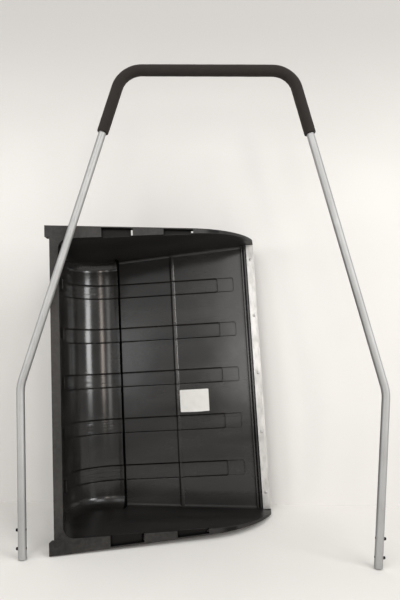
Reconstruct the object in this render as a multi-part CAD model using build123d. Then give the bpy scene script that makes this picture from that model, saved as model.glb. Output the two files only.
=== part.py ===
"""Snow scoop sled, stood up in parts: a moulded tub on its side and its loose U handle.

Units are millimetres. The tub is modelled in its own frame: X runs from its back wall to its
cutting edge, Y runs away from the open side (so a height v above the tub's floor is Y = -v),
and Z runs across its width. It is then tipped onto its lower rim, as it stands.
"""
from build123d import *
import os
from math import cos, radians, sin, tan

# Tub: overall sizes
RIM_WIDTH = 770.0
TUB_LENGTH = 518.0
WALL = 3.0
RIM_BACK_HEIGHT = 325.0
RIM_SLOPE = 19.0
RIM_STRAIGHT = 350.0
TIP_HEIGHT = 30.0
TIP_SETBACK = 2.0

# Tub: inside of the basin
BACK_LIP = 30.0
BACK_RADIUS = 117.0
BACK_LEAN = 16.0
SIDE_HALF = 353.5
SIDE_AT = 110.0
SIDE_TOE = 3.55
SIDE_DRAFT = 0.6
ROOT_RADIUS = 9.0
BACK_ROOT_RADIUS = 28.0

# Tub: rim
SKIRT_DEPTH = 20.0
BACK_FLANGE_SETBACK = 10.5
HOOK_WIDTH = 29.0
POCKET_STARTS = (130.0, 281.0)
POCKET_LENGTH = 75.0
POCKET_DEPTH = 9.0
SLOT_WIDTH = 6.0
SLOT_MARGIN = 1.0

# Tub: floor forms
GROOVE_AT = 110.0
GROOVE_WIDTH = 7.0
GROOVE_BOTTOM = 1.5
GROOVE_DEPTH = 6.5
GROOVE_END_DEPTH = 1.2
GROOVE_CLIMB = 32.0
RIDGE_AT = 272.0
RIDGE_WIDTH = 13.0
RIDGE_HEIGHT = 2.5
LIP_LENGTH = 21.0
BEAD_COUNT = 2
BEAD_PITCH = 8.5
BEAD_WIDTH = 6.5
BEAD_HEIGHT = 4.0
BEAD_SLOPE = 1.2
BAND_COUNT = 5
BAND_PITCH = 131.0
BAND_WIDTH = 40.0
BAND_DEPTH = 4.0
BAND_SETBACK = 27.0
BAND_STEP_LENGTH = 47.0
BAND_STEP_DEPTH = 1.5
BAND_TOP = 200.0
BAND_CORNER = 9.0

# Tub: stacking lugs, one at the top of each channel
LUG_AT = 180.0
LUG_HEIGHT = 14.0
LUG_REACH = 6.0
LUG_WIDTH = 29.0

# Wear strip, rivets and label
STRIP_THICKNESS = 2.0
STRIP_END_GAP = 0.5
STRIP_CORNER = 1.5
RIVET_COUNT = 5
RIVET_PITCH = 166.0
RIVET_SHANK = 4.0
RIVET_HEAD = 8.0
RIVET_HEAD_HEIGHT = 1.6
RIVET_HEAD_ROUND = 1.3
RIVET_TAIL = 7.0
RIVET_TAIL_HEIGHT = 1.5
RIVET_FIT = 0.1
LABEL_LENGTH = 83.0
LABEL_WIDTH = 63.0
LABEL_THICKNESS = 0.4
LABEL_GAP = 0.5
LABEL_ACROSS = -69.5

# Handle: its middle line, measured in the plane that it lies in
FOOT_HALF = 394.5
LEG_SPLAY = 29.5
BEND_HEIGHT = 381.5
TOP_HALF = 213.5
TOP_HEIGHT = 1176.5
BEND_RADIUS = 90.0
CORNER_RADIUS = 65.0
TUBE_DIAMETER = 19.0
TUBE_WALL = 1.5
GRIP_DIAMETER = 29.0
GRIP_REACH = 174.0
GRIP_EDGE = 3.0

# Handle bolts, and the holes that they go to in the tub's rim
BOLT_SHANK = 6.0
BOLT_CLEARANCE = 0.25
BOLT_HEAD = 8.0
BOLT_HEAD_HEIGHT = 4.5
BOLT_HEAD_ROUND = 1.5
BOLT_FIRST = 22.5
BOLT_PITCH = 40.0
RIM_HOLE_DROP = 11.5

# How the two stand
TUB_YAW = -3.9
HANDLE_LEAN = 7.7
HANDLE_YAW = -1.55
HANDLE_OFFSET = 389.5
TOUCH_GAP = 0.3

# Room left round a form so that a cut runs right past it, and the overlap of joined forms
PAST = 50.0
OVERLAP = 1.0

# How finely the resting place is found
CORNER_STEPS = 45
TIPPING_ROUNDS = 20

TOE = tan(radians(SIDE_TOE))
DRAFT = tan(radians(SIDE_DRAFT))
HALF_WIDTH = RIM_WIDTH / 2
BASIN_TOP = RIM_BACK_HEIGHT + 2 * PAST
LIP_AT = TUB_LENGTH - LIP_LENGTH
BEAD_AT = LIP_AT - BEAD_COUNT * BEAD_PITCH
BAND_END = BEAD_AT - BAND_SETBACK
BAND_STEP_AT = BAND_END - BAND_STEP_LENGTH
BEND_HALF = FOOT_HALF + LEG_SPLAY


def at(u, v):
    """A point of the tub's side view: u along its length, v above its floor."""
    return (u, -v)


def side_half(u, v):
    """Half the width between the basin's side walls."""
    return SIDE_HALF + TOE * (u - SIDE_AT) + DRAFT * v


def curve_centre():
    """How far along the tub the curved back's middle lies, which touches the leaning back wall."""
    lean = radians(BACK_LEAN)
    lip_height = RIM_BACK_HEIGHT - BACK_LIP * tan(radians(RIM_SLOPE))
    return BACK_LIP + (BACK_RADIUS + (BACK_RADIUS - lip_height) * sin(lean)) / cos(lean)


def basin_face(grow, front):
    """The basin in side view, grown outwards: floor, curved back and leaning back wall."""
    centre_u = curve_centre()
    radius = BACK_RADIUS + grow

    def on_curve(turn):
        angle = radians(turn)
        return at(centre_u - radius * sin(angle), BACK_RADIUS - radius * cos(angle))

    end_turn = 90 + BACK_LEAN
    start = on_curve(0)
    end = on_curve(end_turn)
    rise = BASIN_TOP + end[1]
    top = at(end[0] + rise * tan(radians(BACK_LEAN)), BASIN_TOP)
    lines = [
        Line(at(front, -grow), start),
        ThreePointArc(start, on_curve(end_turn / 2), end),
        Line(end, top),
        Line(top, at(front, BASIN_TOP)),
        Line(at(front, BASIN_TOP), at(front, -grow)),
    ]
    return make_face(lines)


def basin_side_cut(body, grow):
    """A form that is cut to the side walls, which are drafted and toe out to the front."""
    for side in (1, -1):
        normal = Vector(-TOE, DRAFT, side)
        middle = Vector(SIDE_AT, 0, side * SIDE_HALF) + normal.normalized() * grow
        body = split(body, bisect_by=Plane(origin=middle, z_dir=normal), keep=Keep.BOTTOM)
    return body


def basin(grow, front):
    """The basin as a solid, grown outwards, with roots that are rounder behind the groove.

    A grown form begins its sharper roots further back, so that the wall closes the step.
    """
    body = extrude(basin_face(grow, front), amount=HALF_WIDTH + PAST, both=True)
    body = basin_side_cut(body, grow)
    roots = [
        edge for edge in body.edges()
        if abs(edge.center().Z) > SIDE_HALF / 2
        and edge.center().X < front - OVERLAP
        and edge.center().Y > OVERLAP - BASIN_TOP
    ]
    behind = fillet(roots, radius=BACK_ROOT_RADIUS + grow)
    ahead = fillet(roots, radius=ROOT_RADIUS + grow)
    wide = HALF_WIDTH + 2 * PAST
    behind = behind & block(-2 * BACK_RADIUS, GROOVE_AT, -PAST, 2 * BASIN_TOP, -wide, wide)
    ahead = ahead & block(GROOVE_AT - grow, front + PAST, -PAST, 2 * BASIN_TOP, -wide, wide)
    return behind + ahead


def rim_face(drop, behind=0):
    """All that lies below the rim line in side view, with the line lowered square to itself.

    The line may be carried on for a stretch behind the tub's back edge.
    """
    slope = radians(RIM_SLOPE)
    up = Vector(sin(slope), cos(slope))
    knee = Vector(RIM_STRAIGHT, RIM_BACK_HEIGHT - RIM_STRAIGHT * tan(slope))
    tip = Vector(TUB_LENGTH - TIP_SETBACK, TIP_HEIGHT)
    chord = knee - tip
    radius = chord.length ** 2 / (2 * chord.dot(up))
    centre = knee - up * radius

    def on_curve(direction):
        point = centre + direction.normalized() * (radius - drop)
        return at(point.X, point.Y)

    back = at(-behind, RIM_BACK_HEIGHT - drop / cos(slope) + behind * tan(slope))
    start = on_curve(up)
    middle = on_curve(up + (tip - centre).normalized())
    end = on_curve(tip - centre)
    front = TUB_LENGTH - drop if drop > 0 else TUB_LENGTH
    low = -BASIN_TOP
    lines = [
        Line(back, start),
        ThreePointArc(start, middle, end),
        Line(end, at(front, 0)),
        Line(at(front, 0), at(front, low)),
        Line(at(front, low), at(-behind, low)),
        Line(at(-behind, low), back),
    ]
    return make_face(lines)


def rim_band(top_drop, low_drop, low_z=-HALF_WIDTH, high_z=HALF_WIDTH):
    """The layer between two lowered rim lines, over a stretch of the tub's width."""
    band = rim_face(top_drop) - rim_face(low_drop)
    return Pos(0, 0, low_z) * extrude(band, amount=high_z - low_z)


def block(u0, u1, v0, v1, w0, w1):
    """A plain block between the given bounds of the tub's frame."""
    size = Box(u1 - u0, v1 - v0, w1 - w0)
    return Pos((u0 + u1) / 2, -(v0 + v1) / 2, (w0 + w1) / 2) * size


def band_centres():
    return [BAND_PITCH * (i - (BAND_COUNT - 1) / 2) for i in range(BAND_COUNT)]


def band_form(centre, grow, width, end):
    """One lengthwise channel: the basin's side view grown by its depth, with sloping flanks.

    The width is that of the opening in the basin's own surface.
    """
    run = grow + OVERLAP
    low_half = width / 2 - grow
    low_face = basin_face(grow, end)
    strip = extrude(low_face, amount=low_half, both=True)
    for side in (1, -1):
        high_face = Pos(0, 0, side * (low_half + run)) * basin_face(-OVERLAP, end - run)
        strip += loft([Pos(0, 0, side * low_half) * low_face, high_face], ruled=True)
    length = end + BACK_RADIUS
    plan = Pos((end - BACK_RADIUS) / 2, 0, 0) * Rot(90, 0, 0) * RectangleRounded(
        length, width + 2 * OVERLAP, BAND_CORNER)
    strip = strip & Pos(0, PAST, 0) * extrude(plan, amount=PAST + BAND_TOP + grow)
    return Pos(0, 0, centre) * strip


def transverse(points, half):
    """A form that runs across the tub, from its outline in side view."""
    outline = Polyline(*points, close=True)
    return extrude(make_face(outline), amount=half, both=True)


def make_tub():
    open_front = TUB_LENGTH + PAST
    void = basin(0, open_front)
    shell = basin(WALL, TUB_LENGTH)

    # The lip at the front is square inside, so that the wear strip lies flat in it
    lip_half = side_half(TUB_LENGTH, 0) + WALL
    shell += block(BEAD_AT, TUB_LENGTH, -WALL, ROOT_RADIUS + WALL, -lip_half, lip_half)
    void += basin_side_cut(block(LIP_AT, open_front, 0, BASIN_TOP, -HALF_WIDTH, HALF_WIDTH), 0)

    # Lengthwise channels show inside, and as runners outside
    for centre in band_centres():
        for depth, end in ((BAND_DEPTH, BAND_STEP_AT), (BAND_STEP_DEPTH, BAND_END)):
            opening = BAND_WIDTH + depth
            void += band_form(centre, depth, opening, end)
            shell += band_form(centre, depth + WALL, opening + 4 * WALL, end + WALL)

    # The groove across the foot of the curved back, shallower where it climbs the roots
    half = side_half(GROOVE_AT, 0) - BACK_ROOT_RADIUS
    g0 = GROOVE_AT - GROOVE_WIDTH / 2
    g1 = GROOVE_AT + GROOVE_WIDTH / 2
    b0 = GROOVE_AT - GROOVE_BOTTOM / 2
    b1 = GROOVE_AT + GROOVE_BOTTOM / 2
    void += transverse(
        [at(g0, OVERLAP), at(g0, 0), at(b0, -GROOVE_DEPTH), at(b1, -GROOVE_DEPTH), at(g1, 0),
         at(g1, OVERLAP)], half - WALL)
    low = -GROOVE_DEPTH - WALL
    shell += transverse(
        [at(g0 - 2 * WALL, -WALL / 2), at(b0 - WALL, low), at(b1 + WALL, low),
         at(g1 + 2 * WALL, -WALL / 2)], half)
    groove_ends = block(g0, g1, -WALL, GROOVE_CLIMB, -HALF_WIDTH, HALF_WIDTH)
    void += basin(GROOVE_END_DEPTH, open_front) & groove_ends

    below_rim = extrude(rim_face(0, behind=2 * BACK_RADIUS), amount=RIM_WIDTH)
    shell = shell & (Pos(0, 0, -HALF_WIDTH) * below_rim)

    # The rim: a flange all round the open side, with a skirt along its outer edge
    inner_hook = HALF_WIDTH - HOOK_WIDTH
    outline = Polyline(
        (0, HALF_WIDTH), (TUB_LENGTH, HALF_WIDTH), (TUB_LENGTH, -HALF_WIDTH), (0, -HALF_WIDTH),
        (0, -inner_hook), (BACK_FLANGE_SETBACK, -inner_hook),
        (BACK_FLANGE_SETBACK, inner_hook), (0, inner_hook), close=True,
    )
    plan = make_face(outline)
    ring = plan - offset(plan, amount=-WALL, kind=Kind.INTERSECTION)
    to_side = Rot(90, 0, 0)
    whole_plan = Pos(0, OVERLAP, 0) * extrude(to_side * plan, amount=BASIN_TOP)
    ring_wall = Pos(0, OVERLAP, 0) * extrude(to_side * ring, amount=BASIN_TOP)
    wide = HALF_WIDTH + PAST
    above_floor = block(-PAST, open_front, -WALL, BASIN_TOP, -wide, wide)
    flange = rim_band(0, WALL) & whole_plan
    skirt = rim_band(0, SKIRT_DEPTH) & ring_wall
    rim = (flange + skirt) & above_floor
    tub = shell + rim - void

    # Recessed pockets in the side rims, each with a slot through its front end
    inside = side_half(0, 0) - ROOT_RADIUS
    outside = HALF_WIDTH - WALL
    for start in POCKET_STARTS:
        end = start + POCKET_LENGTH
        for side in (1, -1):
            w0, w1 = sorted((side * inside, side * outside))
            stretch = block(start - WALL, end + WALL, -WALL, BASIN_TOP, w0, w1)
            hollow = block(start, end, -WALL, BASIN_TOP, w0, w1)
            tub += rim_band(0, POCKET_DEPTH + WALL) & stretch - basin(0, open_front)
            tub -= rim_band(-OVERLAP, POCKET_DEPTH) & hollow
            slot_in = side_half(end, RIM_BACK_HEIGHT / 2) + WALL + SLOT_MARGIN
            slot_out = outside - SLOT_MARGIN
            s0, s1 = sorted((side * slot_in, side * slot_out))
            tub -= block(end - SLOT_WIDTH, end, 0, BASIN_TOP, s0, s1)

    # A lug across the top of each channel, where nested tubs rest on each other
    for centre in band_centres():
        lug = extrude(lug_face(), amount=LUG_WIDTH / 2, both=True)
        tub += Pos(0, 0, centre) * lug

    # The ridge across the floor, which dips into each channel, and the beads along the lip
    ridge_half = side_half(RIDGE_AT, 0)
    ridge = extrude(ridge_face(0), amount=ridge_half, both=True)
    opening = (BAND_WIDTH + BAND_DEPTH) / 2
    dip = extrude(ridge_face(-BAND_DEPTH), amount=opening, both=True)
    for centre in band_centres():
        channel = block(RIDGE_AT - RIDGE_WIDTH, RIDGE_AT + RIDGE_WIDTH, -PAST, PAST,
                        centre - opening, centre + opening)
        ridge = ridge - channel + Pos(0, 0, centre) * dip
    tub += ridge
    for index in range(BEAD_COUNT):
        back = BEAD_AT + index * BEAD_PITCH
        front = back + BEAD_WIDTH
        tub += transverse(
            [at(back, -WALL / 2), at(back + BEAD_SLOPE, BEAD_HEIGHT),
             at(front - BEAD_SLOPE, BEAD_HEIGHT), at(front, -WALL / 2)], side_half(back, 0))

    # Holes: rivets in the lip, handle bolts in the side skirts
    for across in rivet_places():
        tub -= rivet_hole(across)
    for u, v in rim_hole_places():
        hole = Cylinder(BOLT_SHANK / 2 + BOLT_CLEARANCE, 4 * WALL)
        for side in (1, -1):
            tub -= Pos(u, -v, side * (HALF_WIDTH - WALL / 2)) * hole
    return tub


def ridge_face(floor):
    """The ridge's round top in side view, on a floor at the given height."""
    foot = RIDGE_WIDTH / 2
    root = floor - WALL / 2
    back, front = at(RIDGE_AT - foot, floor), at(RIDGE_AT + foot, floor)
    lines = [
        ThreePointArc(back, at(RIDGE_AT, floor + RIDGE_HEIGHT), front),
        Line(front, at(RIDGE_AT + foot, root)),
        Line(at(RIDGE_AT + foot, root), at(RIDGE_AT - foot, root)),
        Line(at(RIDGE_AT - foot, root), back),
    ]
    return make_face(lines)


def lug_face():
    """A stacking lug in side view, rooted in the back wall behind the channel."""
    lean = tan(radians(BACK_LEAN))
    lip_height = RIM_BACK_HEIGHT - BACK_LIP * tan(radians(RIM_SLOPE))
    low = LUG_AT - LUG_HEIGHT

    def wall_at(v):
        return BACK_LIP - (lip_height - v) * lean

    outline = Polyline(
        at(wall_at(low) - BAND_DEPTH - WALL / 2, low), at(wall_at(low), low),
        at(wall_at(LUG_AT) + LUG_REACH, LUG_AT),
        at(wall_at(LUG_AT) - BAND_DEPTH - WALL / 2, LUG_AT), close=True)
    return make_face(outline)


def rivet_line():
    return (LIP_AT + TUB_LENGTH) / 2


def rivet_hole(across):
    """The tool that bores one rivet's hole through the strip and the lip."""
    hole = Cylinder(RIVET_SHANK / 2 + RIVET_FIT, PAST)
    return Pos(rivet_line(), 0, across) * Rot(90, 0, 0) * hole


def rivet_places():
    return [RIVET_PITCH * (i - (RIVET_COUNT - 1) / 2) for i in range(RIVET_COUNT)]


def rim_hole_places():
    """The two handle bolt holes of each side skirt in side view, midway between its pockets."""
    slope = radians(RIM_SLOPE)
    middle = (POCKET_STARTS[0] + POCKET_LENGTH + POCKET_STARTS[1]) / 2
    places = []
    for along in (-BOLT_PITCH / 2, BOLT_PITCH / 2):
        u = middle + along * cos(slope) - RIM_HOLE_DROP * sin(slope)
        v = RIM_BACK_HEIGHT - (middle + along * cos(slope)) * tan(slope) - RIM_HOLE_DROP * cos(slope)
        places.append((u, v))
    return places


def make_strip():
    half = side_half(LIP_AT, 0) - STRIP_END_GAP
    strip = block(LIP_AT, TUB_LENGTH, 0, STRIP_THICKNESS, -half, half)
    strip = fillet(strip.edges().filter_by(Axis.Y), radius=STRIP_CORNER)
    for across in rivet_places():
        strip -= rivet_hole(across)
    return strip


def make_rivet(across):
    """A rivet from the strip's face through the lip to its closed tail outside."""
    grip = STRIP_THICKNESS + WALL
    shank = Cylinder(RIVET_SHANK / 2, grip, align=(Align.CENTER, Align.CENTER, Align.MIN))
    head = Pos(0, 0, grip) * Cylinder(
        RIVET_HEAD / 2, RIVET_HEAD_HEIGHT, align=(Align.CENTER, Align.CENTER, Align.MIN))
    head = fillet(head.edges().sort_by(Axis.Z)[-1], radius=RIVET_HEAD_ROUND)
    tail = Cylinder(
        RIVET_TAIL / 2, RIVET_TAIL_HEIGHT, align=(Align.CENTER, Align.CENTER, Align.MAX))
    rivet = shank + head + tail
    return Pos(rivet_line(), WALL, across) * Rot(90, 0, 0) * rivet


def make_label():
    start = RIDGE_AT + RIDGE_WIDTH / 2 + LABEL_GAP
    half = LABEL_WIDTH / 2
    return block(start, start + LABEL_LENGTH, 0, LABEL_THICKNESS,
                 LABEL_ACROSS - half, LABEL_ACROSS + half)


def handle_path():
    return FilletPolyline(
        (-FOOT_HALF, 0, 0), (-BEND_HALF, 0, BEND_HEIGHT), (-TOP_HALF, 0, TOP_HEIGHT),
        (TOP_HALF, 0, TOP_HEIGHT), (BEND_HALF, 0, BEND_HEIGHT), (FOOT_HALF, 0, 0),
        radius=(BEND_RADIUS, CORNER_RADIUS, CORNER_RADIUS, BEND_RADIUS))


def grip_path():
    """The handle's middle line under the grip."""
    down = Vector(TOP_HALF - BEND_HALF, 0, 0) + Vector(0, 0, TOP_HEIGHT - BEND_HEIGHT)
    reach = down.normalized() * GRIP_REACH
    low_x = TOP_HALF - reach.X
    low_z = TOP_HEIGHT - reach.Z
    return FilletPolyline(
        (-low_x, 0, low_z), (-TOP_HALF, 0, TOP_HEIGHT), (TOP_HALF, 0, TOP_HEIGHT),
        (low_x, 0, low_z), radius=CORNER_RADIUS)


def pipe(path, diameter):
    section = Plane(origin=path @ 0, z_dir=path % 0) * Circle(diameter / 2)
    return sweep(section, path=path)


def bolt_places():
    """Each bolt's side, number and middle, with the direction in which its leg runs."""
    places = []
    for name, side in (("left", -1), ("right", 1)):
        foot = Vector(side * FOOT_HALF, 0, 0)
        along = (Vector(side * BEND_HALF, 0, BEND_HEIGHT) - foot).normalized()
        for number in (1, 2):
            middle = foot + along * (BOLT_FIRST + BOLT_PITCH * (number - 1))
            places.append((name, number, middle, along, side))
    return places


def make_tube():
    path = handle_path()
    tube = pipe(path, TUBE_DIAMETER) - pipe(path, TUBE_DIAMETER - 2 * TUBE_WALL)
    for name, number, middle, along, side in bolt_places():
        frame = Plane(origin=middle, x_dir=(0, 1, 0), z_dir=along.cross(Vector(0, -side, 0)))
        tube -= frame * Cylinder(BOLT_SHANK / 2 + BOLT_CLEARANCE, 2 * TUBE_DIAMETER)
    return tube


def make_grip():
    path = grip_path()
    grip = pipe(path, GRIP_DIAMETER)
    ends = grip.faces().filter_by(GeomType.PLANE).edges()
    grip = fillet(ends, radius=GRIP_EDGE)
    return grip - pipe(path, TUBE_DIAMETER)


def make_bolt(middle, along, side):
    """A bolt through the leg, its domed head on the leg's outer side."""
    outward = along.cross(Vector(0, -side, 0))
    frame = Plane(origin=middle, x_dir=(0, 1, 0), z_dir=outward)
    reach = TUBE_DIAMETER / 2
    centre_low = (Align.CENTER, Align.CENTER, Align.MIN)
    shank = Pos(0, 0, -reach) * Cylinder(BOLT_SHANK / 2, 2 * reach, align=centre_low)
    head = Pos(0, 0, reach) * Cylinder(BOLT_HEAD / 2, BOLT_HEAD_HEIGHT, align=centre_low)
    head = fillet(head.edges().sort_by(Axis.Z)[-1], radius=BOLT_HEAD_ROUND)
    return frame * (shank + head)


def lower_corner():
    """The middles and radii of the balls that roll along the rounded outside of the lower corner."""
    balls = []
    for step in range(CORNER_STEPS + 1):
        share = step / CORNER_STEPS
        u = GROOVE_AT + (TUB_LENGTH - GROOVE_AT) * share
        balls.append((u, ROOT_RADIUS, ROOT_RADIUS))
        turn = radians(90 * share)
        reach = BACK_RADIUS - BACK_ROOT_RADIUS
        u = curve_centre() - reach * sin(turn)
        balls.append((u, BACK_RADIUS - reach * cos(turn), BACK_ROOT_RADIUS))
    return [(Vector(u, -v, radius - side_half(u, v)), radius + WALL) for u, v, radius in balls]


def resting_place():
    """Where the tub's frame goes as it stands, tipped back onto the floor.

    The tub touches the floor with the hook and the tip of its lower rim, and with the rounded
    corner between its side wall and its floor or curved back.
    """
    skirt_drop = SKIRT_DEPTH / cos(radians(RIM_SLOPE))
    hook = Vector(0, skirt_drop - RIM_BACK_HEIGHT, -HALF_WIDTH)
    tip = Vector(TUB_LENGTH - SKIRT_DEPTH, WALL, -HALF_WIDTH)
    balls = lower_corner()
    floor_z = Vector(0, 0, 1)
    normal = floor_z
    for _ in range(TIPPING_ROUNDS):
        centre, radius = min(balls, key=lambda ball: normal.dot(ball[0]) - ball[1])
        corner = centre - normal * radius
        normal = (tip - hook).cross(corner - hook).normalized()
    axis = normal.cross(floor_z)
    tipped = Location((0, 0, 0), (axis.X, axis.Y, axis.Z), normal.get_angle(floor_z))
    return Rot(0, 0, TUB_YAW) * tipped


def leaning_place(tube, tub, hook_x):
    """Where the handle's frame goes: leant back, with its leg almost touching the tub's rim."""
    lean = Rot(0, 0, HANDLE_YAW) * Rot(-HANDLE_LEAN, 0, 0)
    box = (lean * tube).bounding_box()
    across = hook_x + HANDLE_OFFSET
    away = tub.bounding_box().min.Y - box.max.Y - TUBE_DIAMETER
    place = Pos(across, away, -box.min.Z) * lean
    gap = (place * tube).distance_to(tub) - TOUCH_GAP
    while gap > TOUCH_GAP / 10:
        away += gap
        place = Pos(across, away, -box.min.Z) * lean
        gap = (place * tube).distance_to(tub) - TOUCH_GAP
    return place


tub_pieces = {"scoop_tub": make_tub(), "wear_strip": make_strip(), "label": make_label()}
for index, across in enumerate(rivet_places()):
    tub_pieces[f"rivet_{index + 1}"] = make_rivet(across)
handle_pieces = {"handle_tube": make_tube(), "foam_grip": make_grip()}
for name, number, middle, along, side in bolt_places():
    handle_pieces[f"bolt_{name}_{number}"] = make_bolt(middle, along, side)

# The tub stands on the floor, and the handle leans beside it
tub_place = resting_place()
tub_place = Pos(0, 0, -(tub_place * tub_pieces["scoop_tub"]).bounding_box().min.Z) * tub_place
upper_hook = tub_place * Pos(0, -RIM_BACK_HEIGHT, HALF_WIDTH)
handle_place = leaning_place(
    handle_pieces["handle_tube"], tub_place * tub_pieces["scoop_tub"], upper_hook.position.X)

# The origin is on the floor, under the middle of the whole
stood = [tub_place * tub_pieces["scoop_tub"], handle_place * handle_pieces["handle_tube"],
         handle_place * handle_pieces["foam_grip"]]
stood += [handle_place * handle_pieces[f"bolt_{name}_{number}"]
          for name, number, *_ in bolt_places()]
boxes = [piece.bounding_box() for piece in stood]
mid_x = (min(box.min.X for box in boxes) + max(box.max.X for box in boxes)) / 2
mid_y = (min(box.min.Y for box in boxes) + max(box.max.Y for box in boxes)) / 2
centred = Pos(-mid_x, -mid_y, 0)
tub_place = centred * tub_place
handle_place = centred * handle_place

os.makedirs("parts", exist_ok=True)
for name, piece in tub_pieces.items():
    export_step(tub_place * piece, f"parts/{name}.step")
for name, piece in handle_pieces.items():
    export_step(handle_place * piece, f"parts/{name}.step")
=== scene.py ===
"""Snow scoop sled stood up in two parts: the finishes of its fixed frame, and its stage.

The tub stands on its lower rim and the loose U handle leans on it. Lengths are in metres, in the
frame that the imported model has. Tub coordinates run from the back wall to the cutting edge (X),
away from the open side (Y) and across the width (Z). Handle coordinates have the handle's middle
line in their XZ plane, with Z up the handle.
"""
from math import acos, cos, pi, radians, sin, tan

import bmesh
import bpy
from bpy.props import (
    FloatProperty, FloatVectorProperty, PointerProperty)
from mathutils import Euler, Matrix, Vector, noise


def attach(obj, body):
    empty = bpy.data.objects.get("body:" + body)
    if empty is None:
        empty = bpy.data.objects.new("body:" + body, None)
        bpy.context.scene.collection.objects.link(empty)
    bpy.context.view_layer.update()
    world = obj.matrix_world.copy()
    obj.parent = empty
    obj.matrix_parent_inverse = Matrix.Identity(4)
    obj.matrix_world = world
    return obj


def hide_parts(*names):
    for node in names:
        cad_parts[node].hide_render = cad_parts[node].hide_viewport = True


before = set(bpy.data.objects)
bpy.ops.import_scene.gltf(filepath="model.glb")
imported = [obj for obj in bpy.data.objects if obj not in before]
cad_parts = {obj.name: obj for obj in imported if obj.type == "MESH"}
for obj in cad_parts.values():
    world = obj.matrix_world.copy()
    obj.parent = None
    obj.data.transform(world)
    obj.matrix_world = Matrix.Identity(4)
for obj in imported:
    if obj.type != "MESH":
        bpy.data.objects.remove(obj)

bl_info = {
    "name": "Snow scoop sled finishes",
    "version": (1, 0, 0),
    "blender": (4, 5, 0),
    "location": "3D View > Sidebar > Snow Scoop",
    "description": "Gives a snow scoop sled its plastic, metal, foam and paper, and its stage",
    "category": "Object",
}

RIVET_COUNT = 5


def linear(code):
    """An sRGB hex colour as three linear values."""
    parts = [int(code[i:i + 2], 16) / 255 for i in (0, 2, 4)]
    return tuple(c / 12.92 if c <= 0.04045 else ((c + 0.055) / 1.055) ** 2.4 for c in parts)


def colour(name, description, code):
    return FloatVectorProperty(
        name=name, description=description, subtype="COLOR", min=0, max=1, default=linear(code))


def length(name, description, default):
    return FloatProperty(
        name=name, description=description, subtype="DISTANCE", unit="LENGTH", default=default)


class ScoopColours(bpy.types.PropertyGroup):
    plastic: colour("Tub plastic", "Black polypropylene of the tub", "151413")
    haze: colour("Plastic haze", "Where handling and dust have dulled the plastic", "33312f")
    shade: FloatVectorProperty(
        name="Plastic shade", description="Inner edges of the plastic, where no light comes",
        subtype="COLOR", min=0, max=1, default=(0.002, 0.002, 0.002))
    strip: colour("Wear strip", "Mill aluminium of the strip along the cutting edge", "c4c3c1")
    strip_dark: colour("Wear strip, dull", "Oxide patches on the strip", "aaa9a7")
    rivet: colour("Rivets", "Aluminium of the blind rivets", "b9b8b6")
    tube: colour("Handle tube", "Satin anodised aluminium of the handle", "a9a9a8")
    foam: colour("Grip foam", "Nitrile foam of the grip", "211d1a")
    bolt: colour("Bolts", "Black zinc plate of the bolts", "1c1b1b")
    paper: colour("Label", "Coated white paper of the label", "d2d1cd")
    wall: colour("Backdrop", "Pale wall behind the scoop", "cfcdca")
    floor: colour("Floor", "Pale floor under the scoop", "e2e0dc")


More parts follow.
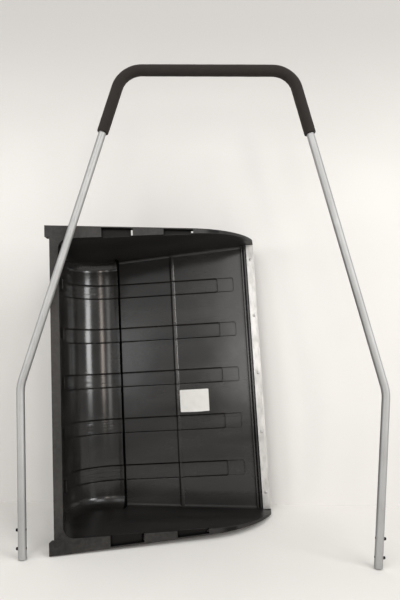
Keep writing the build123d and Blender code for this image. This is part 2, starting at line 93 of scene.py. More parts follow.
class ScoopSizes(bpy.types.PropertyGroup):
    tub_place: FloatVectorProperty(
        name="Tub place", description="Where the tub's coordinates start", subtype="TRANSLATION",
        unit="LENGTH", precision=6, default=(-0.341455, 0.183580, 0.343519))
    tub_turn: FloatVectorProperty(
        name="Tub turn", description="How the tub is turned as it stands", subtype="EULER",
        default=(radians(-7.0988), radians(-4.3544), radians(-3.6298)))
    handle_place: FloatVectorProperty(
        name="Handle place", description="The middle between the handle's feet",
        subtype="TRANSLATION", unit="LENGTH", precision=6,
        default=(-0.001353, -0.207883, 0.001465))
    handle_turn: FloatVectorProperty(
        name="Handle turn", description="How the handle leans", subtype="EULER",
        default=(radians(-7.7), 0, radians(-1.55)))
    foot_half: length("Foot half", "From the handle's middle to a foot", 0.3945)
    bend_half: length("Bend half", "From the handle's middle to a leg's bend", 0.424)
    bend_height: length("Bend height", "Height of the bends up the handle", 0.3815)
    top_half: length("Top half", "From the handle's middle to a top corner", 0.2135)
    top_height: length("Top height", "Height of the bar up the handle", 1.1765)
    corner_radius: length("Corner radius", "Bend radius of the top corners", 0.065)
    tube_diameter: length("Tube diameter", "Outside of the handle tube", 0.019)
    grip_diameter: length("Grip diameter", "Outside of the foam grip", 0.029)
    grip_reach: length("Grip reach", "How far the foam runs down each leg from its corner", 0.174)
    grip_edge: length("Grip edge", "Rounding of the foam's cut ends", 0.0028)
    bolt_first: length("First bolt", "From a foot to its first bolt", 0.0225)
    bolt_pitch: length("Bolt pitch", "Between the two bolts of a leg", 0.040)
    bolt_head: length("Bolt head", "Across the corners of a bolt's head", 0.0074)
    bolt_height: length("Bolt head height", "Height of a bolt's head and washer", 0.0045)
    bolt_shank: length("Bolt shank", "Diameter of a bolt", 0.006)
    rivet_line: length("Rivet line", "From the tub's back wall to the rivets", 0.5075)
    rivet_pitch: length("Rivet pitch", "Between two rivets", 0.166)
    rivet_head: length("Rivet head", "Diameter of a rivet's head", 0.008)
    wall: length("Tub wall", "Thickness of the tub's plastic", 0.003)
    strip: length("Strip thickness", "Thickness of the wear strip", 0.002)
    label_start: length("Label start", "From the tub's back wall to the label", 0.2790)
    label_length: length("Label length", "Size of the label along the tub", 0.083)
    label_width: length("Label width", "Size of the label across the tub", 0.063)
    label_across: length("Label place", "Middle of the label across the tub", -0.0695)
    side_half: length("Side half", "Half the width between the side walls at the back", 0.3467)
    side_toe: FloatProperty(
        name="Side toe", description="How much the side walls part per metre of length",
        default=0.062)
    rim_height: length("Rim height", "Height of the rim line at the back", 0.325)
    rim_slope: FloatProperty(
        name="Rim slope", description="How much the rim line falls per metre of length",
        default=0.3443)
    groove_at: length("Groove place", "From the tub's back wall to the groove", 0.110)
    groove_half: length("Groove half", "Half the width of the groove", 0.0033)
    groove_climb: length("Groove climb", "How high the groove runs up the side walls", 0.032)
    channel_pitch: length("Channel pitch", "Between two channels of the tub", 0.131)
    channel_half: length("Channel half", "Half the width of a channel", 0.0205)


class ScoopStage(bpy.types.PropertyGroup):
    camera_place: FloatVectorProperty(
        name="Camera place", description="Where the camera stands", subtype="TRANSLATION",
        unit="LENGTH", precision=4, default=(-0.0102, -1.4192, 0.5733))
    camera_pitch: FloatProperty(
        name="Camera pitch", description="How far the camera looks up", subtype="ANGLE",
        default=radians(0.576))
    camera_yaw: FloatProperty(
        name="Camera yaw", description="How far the camera turns left", subtype="ANGLE",
        default=radians(-0.148))
    camera_roll: FloatProperty(
        name="Camera roll", description="How far the camera leans", subtype="ANGLE",
        default=radians(0.782))
    lens: FloatProperty(
        name="Lens", description="Focal length for a 36 mm long side", default=32.63, min=10)
    wall_foot: length("Wall foot", "Where the backdrop meets the floor", 0.160)
    wall_lean: FloatProperty(
        name="Wall lean", description="How far the backdrop leans back", subtype="ANGLE",
        default=radians(6.3))
    room_light: FloatProperty(
        name="Room light", description="Strength of the light from all round", default=0.60)


def node(tree, kind, inputs=None, **fields):
    """Adds a shader node; inputs are values or sockets by input name or number."""
    made = tree.nodes.new("ShaderNode" + kind)
    for name, value in fields.items():
        setattr(made, name, value)
    for name, value in (inputs or {}).items():
        if isinstance(value, bpy.types.NodeSocket):
            tree.links.new(value, made.inputs[name])
        else:
            made.inputs[name].default_value = value
    return made


def start_material(name, **values):
    """A new material, its tree and its surface shader, with plain values set on the shader."""
    material = bpy.data.materials.new(name)
    material.use_nodes = True
    shader = material.node_tree.nodes["Principled BSDF"]
    for label, value in values.items():
        shader.inputs[label.replace("_", " ")].default_value = value
    return material, material.node_tree, shader


def link(tree, shader, **sockets):
    for label, socket in sockets.items():
        tree.links.new(socket, shader.inputs[label.replace("_", " ")])


def own_coordinates(tree, place, turn, stretch=(1, 1, 1)):
    """Coordinates of the tub or the handle, in metres, read from Object coordinates."""
    world = node(tree, "TexCoord").outputs["Object"]
    own = node(tree, "Mapping", {"Vector": world, "Location": place, "Rotation": turn},
               vector_type="TEXTURE").outputs[0]
    if stretch == (1, 1, 1):
        return own
    return node(tree, "Mapping", {"Vector": own, "Scale": stretch}).outputs[0]


def per_mm(size):
    """The scale of a pattern whose forms are this many millimetres apart."""
    return 1000 / size


def spread(tree, value, low, high, from_low=0.0, from_high=1.0):
    return node(tree, "MapRange", {
        "Value": value, "From Min": from_low, "From Max": from_high,
        "To Min": low, "To Max": high}).outputs["Result"]


def maths(tree, operation, first, second=0.0, third=0.0, clamp=False):
    return node(tree, "Math", {0: first, 1: second, 2: third}, operation=operation,
                use_clamp=clamp).outputs[0]


def product(tree, *factors):
    """All factors multiplied together."""
    result = factors[0]
    for factor in factors[1:]:
        result = maths(tree, "MULTIPLY", result, factor)
    return result


def greatest(tree, *values):
    result = values[0]
    for value in values[1:]:
        result = maths(tree, "MAXIMUM", result, value)
    return result


def blend_colours(tree, amount, first, second):
    return node(tree, "Mix", {0: amount, 6: first, 7: second}, data_type="RGBA").outputs[2]


def noise_at(tree, vector, size, detail=2.0, roughness=0.5):
    return node(tree, "TexNoise", {
        "Vector": vector, "Scale": per_mm(size), "Detail": detail,
        "Roughness": roughness}).outputs["Fac"]


def opaque(values, share=1.0):
    """A colour as a shader takes it, at a share of its lightness."""
    return (*(share * value for value in values), 1)


def tub_regions(tree, own, sizes):
    """Where on the tub a point lies: each region is 1 inside, 0 outside and soft at its edge."""
    soft, softer = 0.0003, 0.002
    place = node(tree, "SeparateXYZ", {0: own}).outputs
    side_line = maths(tree, "MULTIPLY_ADD", place["X"], sizes.side_toe, sizes.side_half)
    past_side = maths(tree, "SUBTRACT", maths(tree, "ABSOLUTE", place["Z"]), side_line)
    below_rim = maths(tree, "SUBTRACT", maths(tree, "ADD", place["Y"], sizes.rim_height),
                      maths(tree, "MULTIPLY", place["X"], sizes.rim_slope))
    rim = spread(tree, below_rim, 1, 0, 0.001, 0.003)
    pocket_floor = product(
        tree, spread(tree, below_rim, 0, 1, 0.003, 0.006),
        spread(tree, below_rim, 1, 0, 0.013, 0.015), spread(tree, past_side, 0, 1, 0.002, 0.004))

    from_groove = maths(tree, "ABSOLUTE", maths(tree, "SUBTRACT", place["X"], sizes.groove_at))
    groove = product(
        tree, spread(tree, from_groove, 1, 0, sizes.groove_half - soft, sizes.groove_half + soft),
        spread(tree, place["Y"], 0, 1, -sizes.groove_climb - softer, -sizes.groove_climb + softer))

    from_channel = maths(tree, "ABSOLUTE", maths(
        tree, "WRAP", place["Z"], sizes.channel_pitch / 2, -sizes.channel_pitch / 2))
    back_channels = product(
        tree, spread(tree, from_channel, 1, 0, sizes.channel_half - 0.003, sizes.channel_half),
        spread(tree, below_rim, 0, 1, 0.08, 0.11), spread(tree, place["X"], 1, 0, 0.09, 0.12))
    # The lower root is the round corner below the floor and the curved back as the tub stands
    return {
        "side": spread(tree, past_side, 0, 1, -0.010, 0.002),
        "rim": rim,
        "rough_rim": product(tree, rim, spread(tree, place["X"], 0.03, 0.20, 0.003, 0.012)),
        "lower_root": spread(tree, place["Z"], 1, 0, -0.348, -0.322),
        "pocket_floor": pocket_floor,
        "groove": groove,
        "back_channels": back_channels,
    }


def moulded_polypropylene(colours, sizes):
    """Injection moulded polypropylene: a near black, with a satin shine that handling dulls in
    soft streaks along the pull of the mould. Corners catch a thin line of light, inner edges
    are painted darker as shade, and the channels ripple where they run up the back."""
    material, tree, shader = start_material("polypropylene_injection_moulded", IOR=1.49)
    own = own_coordinates(tree, sizes.tub_place, sizes.tub_turn)
    along = own_coordinates(tree, sizes.tub_place, sizes.tub_turn, (0.25, 1, 1))
    region = tub_regions(tree, own, sizes)

    haze = spread(tree, noise_at(tree, along, 70, 3), 0, 0.5, 0.35, 0.75)
    scuffs = spread(tree, noise_at(tree, along, 2.2, 3, 0.7), 0, 0.25, 0.55, 0.85)
    worn = spread(tree, noise_at(tree, own, 9, 4, 0.7), 0.05, 0.6, 0.40, 0.68)
    dulled = maths(tree, "ADD", maths(tree, "ADD", haze, scuffs),
                   product(tree, region["rim"], worn), clamp=True)
    tint = blend_colours(tree, dulled, opaque(colours.plastic), opaque(colours.haze))

    # Little light reaches inner edges, the groove and the floors of the pockets
    open_to_light = spread(tree, node(tree, "AmbientOcclusion", {
        "Distance": 0.009}, samples=8, only_local=True).outputs["AO"], 0.05, 1, 0.48, 0.94)
    light = product(tree, open_to_light, spread(tree, region["groove"], 1, 0.1),
                    spread(tree, region["pocket_floor"], 1, 0.35))
    tint = blend_colours(tree, light, opaque(colours.shade), tint)

    # Side walls, rim and lower root are duller than the floor and the curved back
    duller = greatest(tree, spread(tree, region["side"], 0, 0.30), region["rough_rim"],
                      spread(tree, region["lower_root"], 0, 0.22))
    shine = maths(tree, "ADD", spread(tree, dulled, 0.15, 0.24), duller)
    reflects = product(
        tree, light, spread(tree, greatest(tree, region["side"], region["rim"]), 0.5, 0.32),
        spread(tree, region["lower_root"], 1, 0.6))

    corners = node(tree, "Bevel", {"Radius": 0.0012}, samples=6).outputs[0]
    grain = node(tree, "Bump", {
        "Height": noise_at(tree, own, 1.3, 2), "Strength": 0.05, "Distance": 0.0003,
        "Normal": corners}).outputs[0]
    warp = node(tree, "Bump", {
        "Height": noise_at(tree, own, 60, 1), "Strength": 0.10, "Distance": 0.003,
        "Normal": grain}).outputs[0]
    across = own_coordinates(tree, sizes.tub_place, sizes.tub_turn, (0.12, 0.12, 1))
    ripples = product(tree, maths(tree, "SUBTRACT", noise_at(tree, across, 7, 1), 0.5),
                      region["back_channels"])
    relief = node(tree, "Bump", {
        "Height": ripples, "Strength": 0.5, "Distance": 0.0008, "Normal": warp}).outputs[0]
    link(tree, shader, Base_Color=tint, Roughness=shine, Normal=relief,
         Specular_IOR_Level=reflects)
    return material


def rolled_aluminium(colours, sizes):
    """Rolled aluminium flat with its mill finish: bright, with fine lines along the strip, dull
    oxide patches and shallow dents."""
    material, tree, shader = start_material("aluminium_rolled_mill", Metallic=1.0)
    own = own_coordinates(tree, sizes.tub_place, sizes.tub_turn)
    lines = own_coordinates(tree, sizes.tub_place, sizes.tub_turn, (1, 1, 0.02))
    patches = own_coordinates(tree, sizes.tub_place, sizes.tub_turn, (1, 1, 0.4))
    dull = spread(tree, noise_at(tree, patches, 16, 4, 0.6), 0, 1, 0.40, 0.66)
    tint = blend_colours(tree, dull, opaque(colours.strip), opaque(colours.strip_dark))
    drawn = noise_at(tree, lines, 0.5, 2)
    shine = maths(tree, "ADD", spread(tree, drawn, 0.28, 0.42), spread(tree, dull, 0, 0.10))
    corners = node(tree, "Bevel", {"Radius": 0.0004}, samples=4).outputs[0]
    dents = node(tree, "Bump", {
        "Height": noise_at(tree, own, 30, 2), "Strength": 0.25, "Distance": 0.001,
        "Normal": corners}).outputs[0]
    relief = node(tree, "Bump", {
        "Height": drawn, "Strength": 0.08, "Distance": 0.0001, "Normal": dents}).outputs[0]
    link(tree, shader, Base_Color=tint, Roughness=shine, Normal=relief)
    return material


def pressed_aluminium(colours, sizes):
    """Pressed aluminium of a blind rivet: a soft shine, with the tool's faint marks."""
    material, tree, shader = start_material("aluminium_pressed_rivet", Metallic=1.0)
    own = own_coordinates(tree, sizes.tub_place, sizes.tub_turn)
    marks = noise_at(tree, own, 1.2, 3)
    tint = blend_colours(
        tree, spread(tree, marks, 0, 0.6), opaque(colours.rivet), opaque(colours.strip_dark))
    relief = node(tree, "Bump", {
        "Height": marks, "Strength": 0.2, "Distance": 0.0001}).outputs[0]
    link(tree, shader, Base_Color=tint, Roughness=spread(tree, marks, 0.26, 0.44), Normal=relief)
    return material


def anodised_aluminium(colours, sizes):
    """Drawn aluminium tube, etched and anodised: an even silver grey with a satin sheen, faint
    die lines along the legs and a soft cloudiness."""
    material, tree, shader = start_material("aluminium_drawn_anodised", Metallic=1.0)
    own = own_coordinates(tree, sizes.handle_place, sizes.handle_turn)
    lines = own_coordinates(tree, sizes.handle_place, sizes.handle_turn, (1, 1, 0.015))
    etched = noise_at(tree, own, 0.9, 2)
    cloudy = noise_at(tree, own, 70, 3)
    tint = blend_colours(tree, spread(tree, cloudy, 0, 0.7, 0.3, 0.7), opaque(colours.tube),
                         opaque(colours.tube, 0.82))
    shine = maths(tree, "ADD", spread(tree, etched, 0.50, 0.60), spread(tree, cloudy, -0.03, 0.05))
    relief = node(tree, "Bump", {
        "Height": noise_at(tree, lines, 0.9, 2), "Strength": 0.10,
        "Distance": 0.0001}).outputs[0]
    relief = node(tree, "Bump", {
        "Height": etched, "Strength": 0.06, "Distance": 0.0001, "Normal": relief}).outputs[0]
    link(tree, shader, Base_Color=tint, Roughness=shine, Normal=relief)
    return material


def nitrile_foam(colours, sizes):
    """Extruded nitrile foam: a dull brown black skin of fine closed cells. The cells are drawn
    0.9 mm apart, coarser than the real 0.3 mm, so that they show."""
    material, tree, shader = start_material(
        "nitrile_foam_extruded", IOR=1.45, Sheen_Weight=0.04, Sheen_Roughness=0.6,
        Specular_IOR_Level=0.22)
    own = own_coordinates(tree, sizes.handle_place, sizes.handle_turn)
    cells = node(tree, "TexVoronoi", {
        "Vector": own, "Scale": per_mm(0.9)}, feature="F1").outputs["Distance"]
    skin = noise_at(tree, own, 14, 4, 0.6)
    tint = blend_colours(tree, spread(tree, skin, 0, 0.8, 0.35, 0.75), opaque(colours.foam),
                         opaque(colours.foam, 1.35))
    # Painted shade: the hollows of the cells are darkened towards a darker copy of the foam colour
    shaded_cell_hollows = spread(tree, cells, 0.35, 0, 0.0, 0.35)
    tint = blend_colours(tree, shaded_cell_hollows, tint, opaque(colours.foam, 0.6))
    relief = node(tree, "Bump", {
        "Height": cells, "Strength": 0.35, "Distance": 0.0003}).outputs[0]
    relief = node(tree, "Bump", {
        "Height": noise_at(tree, own, 3.5, 3), "Strength": 0.25, "Distance": 0.0006,
        "Normal": relief}).outputs[0]
    link(tree, shader, Base_Color=tint, Roughness=spread(tree, skin, 0.80, 0.95), Normal=relief)
    return material


def black_zinc(colours, sizes):
    """Steel screws plated with black zinc: dark, with a soft uneven shine and bare high spots."""
    material, tree, shader = start_material("steel_black_zinc_plated", Metallic=0.85)
    own = own_coordinates(tree, sizes.handle_place, sizes.handle_turn)
    uneven = noise_at(tree, own, 1.5, 3)
    tint = blend_colours(tree, spread(tree, uneven, 0, 1, 0.62, 0.75), opaque(colours.bolt),
                         opaque(colours.bolt, 3.0))
    relief = node(tree, "Bump", {
        "Height": uneven, "Strength": 0.15, "Distance": 0.0001}).outputs[0]
    link(tree, shader, Base_Color=tint, Roughness=spread(tree, uneven, 0.34, 0.52), Normal=relief)
    return material


def coated_paper(colours, sizes):
    """Coated self adhesive paper: a blank white face with a faint shine, soft ripples where it
    was smoothed down, and a touch of grey along its fibres."""
    material, tree, shader = start_material("paper_coated_label", IOR=1.47)
    own = own_coordinates(tree, sizes.tub_place, sizes.tub_turn)
    fibres = noise_at(tree, own, 0.7, 3)
    smear = noise_at(tree, own, 18, 3)
    mixed = maths(tree, "ADD", spread(tree, fibres, 0, 0.5),
                  spread(tree, smear, 0, 0.5, 0.4, 0.7), clamp=True)
    tint = blend_colours(tree, mixed, opaque(colours.paper), opaque(colours.paper, 0.88))
    relief = node(tree, "Bump", {
        "Height": smear, "Strength": 0.3, "Distance": 0.001}).outputs[0]
    link(tree, shader, Base_Color=tint, Roughness=spread(tree, fibres, 0.42, 0.58), Normal=relief)
    return material


def painted_stage(name, tint, shaded_towards_top=False):
    """Matt white paint: pale and even, with a trace of roller texture. On the backdrop a painted
    shade makes it a little greyer towards the top."""
    material, tree, shader = start_material(name, IOR=1.45, Specular_IOR_Level=0.2)
    world = node(tree, "TexCoord").outputs["Object"]
    cloudy = noise_at(tree, world, 400, 2)
    mixed = blend_colours(
        tree, spread(tree, cloudy, 0, 1, 0.35, 0.65), opaque(tint), opaque(tint, 0.96))
    # Painted shade: the backdrop greys towards the top, standing in for light that falls off
    if shaded_towards_top:
        height = node(tree, "SeparateXYZ", {0: world}).outputs["Z"]
        painted_top_shade = node(tree, "MapRange", {
            "Value": height, "From Min": 0.85, "From Max": 1.55, "To Min": 0.0, "To Max": 1.0},
            interpolation_type="SMOOTHSTEP").outputs["Result"]
        mixed = blend_colours(tree, painted_top_shade, mixed, opaque(tint, 0.66))
    relief = node(tree, "Bump", {
        "Height": noise_at(tree, world, 6, 2), "Strength": 0.03, "Distance": 0.001}).outputs[0]
    link(tree, shader, Base_Color=mixed, Roughness=spread(tree, cloudy, 0.75, 0.85), Normal=relief)
    return material


def standing(place, turn):
    return Matrix.Translation(place) @ Euler(turn).to_matrix().to_4x4()


def finish_piece(bm, name, material, smooth_below=35):
    """Turns a bmesh that is in place into an object at the origin."""
    bmesh.ops.recalc_face_normals(bm, faces=bm.faces)
    mesh = bpy.data.meshes.new(name)
    bm.to_mesh(mesh)
    bm.free()
    mesh.shade_smooth()
    mesh.set_sharp_from_angle(angle=radians(smooth_below))
    mesh.materials.append(material)
    piece = bpy.data.objects.new(name, mesh)
    bpy.context.scene.collection.objects.link(piece)
    return piece


def dress_node(name, material):
    """Gives a frame node a finish in each of its material slots."""
    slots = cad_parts[name].material_slots
    if not slots:
        raise RuntimeError(f"{name} has no material slot")
    for each in slots:
        each.material = material


def stand_for(piece, nodes):
    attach(piece, "root")
    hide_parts(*nodes)


def turn_outline(bm, outline, steps):
    """Turns a line of (radius, height) points round the Z axis, in an empty bmesh."""
    line = [bm.verts.new((radius, 0, height)) for radius, height in outline]
    edges = [bm.edges.new(pair) for pair in zip(line, line[1:])]
    bmesh.ops.spin(bm, geom=line + edges, cent=(0, 0, 0), axis=(0, 0, 1), angle=2 * pi,
                   steps=steps, use_merge=True)
    bmesh.ops.remove_doubles(bm, verts=bm.verts, dist=1e-6)


class SCOOP_OT_tub(bpy.types.Operator):
    """Finish the moulded tub"""
    bl_idname = "scoop.tub"
    bl_label = "Tub"

    def execute(self, context):
        scene = context.scene
        dress_node("scoop_tub", moulded_polypropylene(scene.scoop_colours, scene.scoop_sizes))
        return {"FINISHED"}


class SCOOP_OT_strip(bpy.types.Operator):
    """Finish the wear strip"""
    bl_idname = "scoop.strip"
    bl_label = "Wear strip"

    def execute(self, context):
        scene = context.scene
        dress_node("wear_strip", rolled_aluminium(scene.scoop_colours, scene.scoop_sizes))
        return {"FINISHED"}


class SCOOP_OT_rivets(bpy.types.Operator):
    """Make the blind rivets that hold the wear strip"""
    bl_idname = "scoop.rivets"
    bl_label = "Rivets"

    def execute(self, context):
        sizes = context.scene.scoop_sizes
        material = pressed_aluminium(context.scene.scoop_colours, sizes)
        reach = sizes.rivet_head / 2
        face = sizes.strip
        back = -sizes.wall
        # From the pulled stem in the head's hollow, over the dome, down to the set tail
        outline = (
            (0, face + 0.0009), (0.0008, face + 0.0008), (0.0010, face + 0.0004),
            (0.0012, face + 0.0005), (0.0014, face + 0.0014), (0.0018, face + 0.0016),
            (0.0026, face + 0.00145), (0.0034, face + 0.0009), (0.95 * reach, face + 0.0004),
            (reach, face + 0.0001), (reach, face), (0.0020, face), (0.0020, back),
            (0.0033, back), (0.0035, back - 0.0005), (0.0032, back - 0.0012),
            (0.0022, back - 0.0015), (0.0009, back - 0.0015), (0.0008, back - 0.0012),
            (0, back - 0.0011))
        frame_of_tub = standing(sizes.tub_place, sizes.tub_turn)
        for index in range(RIVET_COUNT):
            bm = bmesh.new()
            turn_outline(bm, outline, 32)
            across = (index - (RIVET_COUNT - 1) / 2) * sizes.rivet_pitch
            place = Matrix.Translation((sizes.rivet_line, 0, across)) @ Matrix.Rotation(pi / 2, 4, "X")
            bmesh.ops.transform(bm, matrix=frame_of_tub @ place, verts=bm.verts)
            piece = finish_piece(bm, f"blind_rivet_{index + 1}", material)
            stand_for(piece, [f"rivet_{index + 1}"])
        return {"FINISHED"}


class SCOOP_OT_label(bpy.types.Operator):
    """Make the blank paper label on the tub's floor"""
    bl_idname = "scoop.label"
    bl_label = "Label"

    def execute(self, context):
        sizes = context.scene.scoop_sizes
        bm = bmesh.new()
        bmesh.ops.create_grid(bm, x_segments=26, y_segments=22, size=0.5)
        bmesh.ops.scale(bm, vec=(sizes.label_length, sizes.label_width, 1), verts=bm.verts)
        corners = [v for v in bm.verts if len(v.link_edges) == 2]
        bmesh.ops.bevel(bm, geom=corners, offset=0.0022, offset_type="OFFSET", segments=4,
                        profile=0.5, affect="VERTICES", material=-1)
        # The paper ripples a little, and past the held share of its half width the middle of its
        # lower edge lifts and drops
        paper, lift, drop, ripple = 0.00012, 0.0012, 0.0008, 0.00008
        held = 0.62
        half_length, half_width = sizes.label_length / 2, sizes.label_width / 2
        for v in bm.verts:
            low_edge = max(0.0, -v.co.y / half_width - held) / (1 - held)
            bulge = low_edge ** 2 * (0.5 + 0.5 * cos(pi * v.co.x / half_length))
            v.co.z += paper + lift * bulge + ripple * (1 + noise.noise(v.co * 90))
            v.co.y -= drop * bulge
        bmesh.ops.recalc_face_normals(bm, faces=bm.faces)
        bmesh.ops.solidify(bm, geom=bm.faces, thickness=paper)
        middle = sizes.label_start + half_length
        place = (standing(sizes.tub_place, sizes.tub_turn)
                 @ Matrix.Translation((middle, 0, sizes.label_across))
                 @ Matrix.Rotation(pi / 2, 4, "X"))
        bmesh.ops.transform(bm, matrix=place, verts=bm.verts)
        material = coated_paper(context.scene.scoop_colours, sizes)
        piece = finish_piece(bm, "paper_label", material)
        stand_for(piece, ["label"])
        return {"FINISHED"}


class SCOOP_OT_tube(bpy.types.Operator):
    """Finish the handle tube"""
    bl_idname = "scoop.tube"
    bl_label = "Handle tube"

    def execute(self, context):
        scene = context.scene
        dress_node("handle_tube", anodised_aluminium(scene.scoop_colours, scene.scoop_sizes))
        return {"FINISHED"}


class SCOOP_OT_grip(bpy.types.Operator):
    """Make the foam grip over the bar and the tops of both legs"""
    bl_idname = "scoop.grip"
    bl_label = "Foam grip"

    def run(self, bm, loop, along, count):
        """Extrudes a loop of edges along a line in equal parts."""
        for _ in range(count):
            grown = bmesh.ops.extrude_edge_only(bm, edges=loop)["geom"]
            verts = [g for g in grown if isinstance(g, bmesh.types.BMVert)]
            loop = [g for g in grown if isinstance(g, bmesh.types.BMEdge)]
            bmesh.ops.translate(bm, vec=along / count, verts=verts)
        return loop

    def turn(self, bm, loop, centre, angle, count):
        """Turns a loop of edges round a corner."""
        verts = list({v for e in loop for v in e.verts})
        last = bmesh.ops.spin(bm, geom=verts + loop, cent=centre, axis=(0, 1, 0), angle=angle,
                              steps=count)["geom_last"]
        return [g for g in last if isinstance(g, bmesh.types.BMEdge)]

    def execute(self, context):
        sizes = context.scene.scoop_sizes
        radius = sizes.grip_diameter / 2
        bore = sizes.tube_diameter / 2 + 0.0001
        swell, fold_depth, folds = 0.0003, 0.00035, 27
        up = Vector((sizes.bend_half - sizes.top_half, 0, sizes.top_height - sizes.bend_height))
        up.normalize()
        turned = acos(up.x)
        tangent = sizes.corner_radius * tan(turned / 2)
        corner = Vector((-sizes.top_half, 0, sizes.top_height))
        centres = [Vector((side * (sizes.top_half - tangent), 0,
                           sizes.top_height - sizes.corner_radius)) for side in (-1, 1)]
        bm = bmesh.new()
        bmesh.ops.create_circle(bm, segments=56, radius=radius - swell)
        bmesh.ops.rotate(bm, cent=(0, 0, 0), matrix=Matrix.Rotation(pi / 2 - turned, 3, "Y"),
                         verts=bm.verts)
        bmesh.ops.translate(bm, vec=corner - up * sizes.grip_reach, verts=bm.verts)
        loop = list(bm.edges)
        leg = sizes.grip_reach - tangent
        loop = self.run(bm, loop, up * leg, 44)
        loop = self.turn(bm, loop, centres[0], turned, 40)
        loop = self.run(bm, loop, Vector((2 * centres[1].x, 0, 0)), 110)
        loop = self.turn(bm, loop, centres[1], turned, 40)
        self.run(bm, loop, Vector((up.x, 0, -up.z)) * leg, 44)
        bmesh.ops.remove_doubles(bm, verts=bm.verts, dist=1e-6)
        bmesh.ops.recalc_face_normals(bm, faces=bm.faces)
        bm.normal_update()
        # Hand-sized unevenness, and small folds where the foam is squeezed inside each bend
        moves = []
        for v in bm.verts:
            lift = swell * (0.6 + 0.7 * noise.noise(v.co * 45))
            for centre in centres:
                away = v.co - centre
                flat = Vector((away.x, 0, away.z))
                inner = 1 - (flat.length - (sizes.corner_radius - radius)) / (0.9 * radius)
                side = 1 if centre.x > 0 else -1
                if inner > 0 and away.z > -0.01 and side * away.x > -0.01:
                    angle = acos(max(-1.0, min(1.0, flat.normalized().x * side)))
                    fold = sin(angle * folds + 2.2 * noise.noise(v.co * 60))
                    fades = max(0.0, sin(min(pi, angle / turned * pi)))
                    lift += fold_depth * inner * fades * (fold - 0.4)
            moves.append(v.normal * lift)
        for v, move in zip(bm.verts, moves):
            v.co += move
        rims = [e for e in bm.edges if e.is_boundary]
        rim_places = [e.verts[0].co.copy() for e in rims]
        bmesh.ops.solidify(bm, geom=bm.faces, thickness=radius - swell - bore)
        # The edges of the foam's cut ends are rounded
        ends = [e for e in bm.edges
                if len(e.link_faces) == 2 and e.calc_face_angle(0) > radians(60)
                and min((e.verts[0].co - p).length for p in rim_places) < 1e-4]
        bmesh.ops.bevel(bm, geom=ends, offset=sizes.grip_edge, offset_type="OFFSET", segments=5,
                        profile=0.5, affect="EDGES", material=-1)
        bmesh.ops.transform(
            bm, matrix=standing(sizes.handle_place, sizes.handle_turn), verts=bm.verts)
        piece = finish_piece(bm, "foam_sleeve", nitrile_foam(context.scene.scoop_colours, sizes))
        stand_for(piece, ["foam_grip"])
        return {"FINISHED"}


class SCOOP_OT_bolts(bpy.types.Operator):
    """Make the black bolts near the end of each leg"""
    bl_idname = "scoop.bolts"
    bl_label = "Bolts"

    def execute(self, context):
        sizes = context.scene.scoop_sizes
        material = black_zinc(context.scene.scoop_colours, sizes)
        reach = sizes.tube_diameter / 2
        washer = 0.0010
        shank = sizes.bolt_shank / 2
        for name, side in (("left", -1), ("right", 1)):
            foot = Vector((side * sizes.foot_half, 0, 0))
            along = (Vector((side * sizes.bend_half, 0, sizes.bend_height)) - foot).normalized()
            for number in (1, 2):
                bm = bmesh.new()
                # Washer, shank and its chamfered end, then the hexagon head on the washer
                turn_outline(bm, (
                    (0, reach + washer), (0.0036, reach + washer), (0.0039, reach + 0.0006),
                    (0.0039, reach + 0.0002), (0.0036, reach), (shank, reach), (shank, -reach + 0.0006),
                    (shank - 0.0006, -reach), (0, -reach)), 28)
                head = bmesh.ops.create_cone(
                    bm, cap_ends=True, segments=6, radius1=sizes.bolt_head / 2 - 0.0003,
                    radius2=sizes.bolt_head / 2 - 0.0003, depth=sizes.bolt_height - washer)["verts"]
                top = reach + sizes.bolt_height
                bmesh.ops.translate(
                    bm, vec=(0, 0, (top + reach + washer) / 2), verts=head)
                crown = [e for e in {e for v in head for e in v.link_edges}
                         if min(v.co.z for v in e.verts) > top - 1e-6]
                bmesh.ops.bevel(bm, geom=crown, offset=0.0009, offset_type="OFFSET", segments=3,
                                profile=0.5, affect="EDGES", material=-1)
                outward = along.cross(Vector((0, -side, 0)))
                across = Vector((0, 1, 0))
                turn = Matrix((across, outward.cross(across), outward)).transposed().to_4x4()
                middle = foot + along * (sizes.bolt_first + sizes.bolt_pitch * (number - 1))
                place = standing(sizes.handle_place, sizes.handle_turn)
                bmesh.ops.transform(
                    bm, matrix=place @ Matrix.Translation(middle) @ turn, verts=bm.verts)
                piece = finish_piece(bm, f"hexagon_bolt_{name}_{number}", material)
                stand_for(piece, [f"bolt_{name}_{number}"])
        return {"FINISHED"}


def add_lamp(name, place, aim, size, power, tint=(1, 1, 1)):
    """A rectangular soft lamp that faces a point."""
    data = bpy.data.lights.new(name, "AREA")
    data.shape = "RECTANGLE"
    data.size, data.size_y = size
    data.energy = power
    data.color = tint
    lamp = bpy.data.objects.new(name, data)
    bpy.context.scene.collection.objects.link(lamp)
    lamp.location = place
    lamp.rotation_mode = "QUATERNION"
    lamp.rotation_quaternion = (Vector(aim) - Vector(place)).to_track_quat("-Z", "Y")


def add_window(name, seen_from, turn, low, high, wide, glow, tint):
    """A soft lamp given by where it is seen from the tub's back: all angles in degrees, the
    turn from straight ahead, its lowest and highest edge, its width; glow 1 looks white."""
    away = 5.0
    ahead = Vector((sin(radians(turn)), -cos(radians(turn)), 0))
    bottom, top = tan(radians(low)) * away, tan(radians(high)) * away
    place = seen_from + ahead * away + Vector((0, 0, (bottom + top) / 2))
    size = (2 * away * tan(radians(wide / 2)), top - bottom)
    add_lamp(f"window_{name}", place, seen_from + Vector((0, 0, (bottom + top) / 2)), size,
             glow * pi * size[0] * size[1], tint)


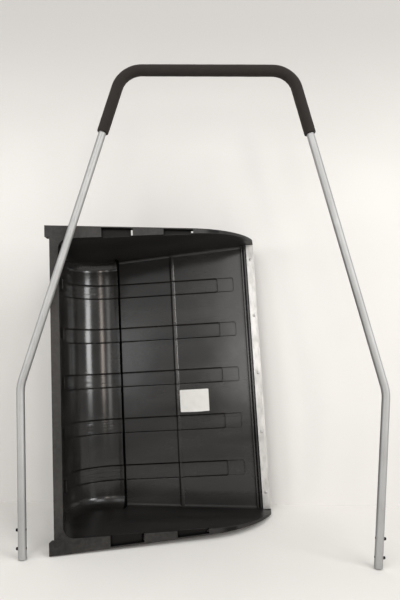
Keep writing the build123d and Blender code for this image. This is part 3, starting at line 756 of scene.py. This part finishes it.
def add_sheet(name, half, start, run, material):
    """A flat sheet that runs on from a line across the floor."""
    bm = bmesh.new()
    line = [bm.verts.new((-half, start, 0)), bm.verts.new((half, start, 0))]
    grown = bmesh.ops.extrude_edge_only(bm, edges=[bm.edges.new(line)])["geom"]
    verts = [g for g in grown if isinstance(g, bmesh.types.BMVert)]
    bmesh.ops.translate(bm, vec=run, verts=verts)
    return finish_piece(bm, name, material)


class SCOOP_OT_stage(bpy.types.Operator):
    """Make the floor, the backdrop, the lamps and the camera"""
    bl_idname = "scoop.stage"
    bl_label = "Stage"

    def execute(self, context):
        scene = context.scene
        stage, colours = scene.scoop_stage, scene.scoop_colours
        half, front, tall = 3.0, -4.0, 3.2
        floor = add_sheet("floor", half, front, (0, stage.wall_foot - front, 0),
                          painted_stage("paint_matt_floor", colours.floor))
        wall = add_sheet("backdrop", half, stage.wall_foot, (0, tall * tan(stage.wall_lean), tall),
                         painted_stage("paint_matt_wall", colours.wall, True))

        world = bpy.data.worlds.new("room")
        world.use_nodes = True
        world.node_tree.nodes["Background"].inputs["Color"].default_value = (1, 0.99, 0.98, 1)
        world.node_tree.nodes["Background"].inputs["Strength"].default_value = stage.room_light
        scene.world = world

        # Two large soft lamps high up light the whole
        for place in ((-1.1, -2.2, 2.7), (1.9, -2.0, 2.5)):
            add_lamp("key", place, aim=(0, 0.1, 0.55), size=(1.3, 1.3), power=30)
        # Narrow ones draw the shines on the tub
        tub_back = Vector((-0.36, 0.12, 0.42))
        for name, turn, low, high, wide, glow, tint in (
                ("left", -52, 4, 21, 18, 8.5, (1, 1, 1)),
                ("right", 60, 5, 21, 13, 12.5, (1, 1, 1)),
                ("right_warm", 21, 5, 21, 7, 9.0, (1.0, 0.88, 0.78)),
                ("beside_camera", 4, 3, 12, 8, 4.5, (1, 0.98, 0.95)),
                ("front", -10, 7, 26, 26, 0.35, (1, 1, 1)),
                ("front_left", -17, 3, 13, 9, 2.4, (0.96, 0.98, 1)),
                ("front_high", 2, 12, 26, 7, 2.4, (1, 0.98, 0.94))):
            add_window(name, tub_back, turn, low, high, wide, glow, tint)

        data = bpy.data.cameras.new("camera")
        data.lens = stage.lens
        data.sensor_width = 36
        camera = bpy.data.objects.new("camera", data)
        scene.collection.objects.link(camera)
        camera.matrix_world = (
            Matrix.Translation(stage.camera_place)
            @ Matrix.Rotation(stage.camera_yaw, 4, "Z")
            @ Matrix.Rotation(pi / 2 + stage.camera_pitch, 4, "X")
            @ Matrix.Rotation(stage.camera_roll, 4, "Z"))
        scene.camera = camera
        scene.view_settings.view_transform = "Standard"
        return {"FINISHED"}


OPERATORS = (SCOOP_OT_tub, SCOOP_OT_strip, SCOOP_OT_rivets, SCOOP_OT_label, SCOOP_OT_tube,
             SCOOP_OT_grip, SCOOP_OT_bolts, SCOOP_OT_stage)


class SCOOP_PT_panel(bpy.types.Panel):
    """Lists the steps that finish the scoop"""
    bl_idname = "SCOOP_PT_panel"
    bl_label = "Snow Scoop"
    bl_space_type = "VIEW_3D"
    bl_region_type = "UI"
    bl_category = "Snow Scoop"

    def draw(self, context):
        for step in OPERATORS:
            self.layout.operator(step.bl_idname)
        for group in ("scoop_colours", "scoop_sizes", "scoop_stage"):
            values = getattr(context.scene, group)
            column = self.layout.column(align=True)
            for name in values.__annotations__:
                column.prop(values, name)


CLASSES = (ScoopColours, ScoopSizes, ScoopStage, *OPERATORS, SCOOP_PT_panel)


def register():
    for each in CLASSES:
        bpy.utils.register_class(each)
    bpy.types.Scene.scoop_colours = PointerProperty(type=ScoopColours)
    bpy.types.Scene.scoop_sizes = PointerProperty(type=ScoopSizes)
    bpy.types.Scene.scoop_stage = PointerProperty(type=ScoopStage)


def unregister():
    del bpy.types.Scene.scoop_stage
    del bpy.types.Scene.scoop_sizes
    del bpy.types.Scene.scoop_colours
    for each in reversed(CLASSES):
        bpy.utils.unregister_class(each)


def main():
    register()
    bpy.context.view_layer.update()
    bpy.ops.scoop.tub()
    bpy.ops.scoop.strip()
    bpy.ops.scoop.rivets()
    bpy.ops.scoop.label()
    bpy.ops.scoop.tube()
    bpy.ops.scoop.grip()
    bpy.ops.scoop.bolts()
    bpy.ops.scoop.stage()


if __name__ == "__main__":
    main()
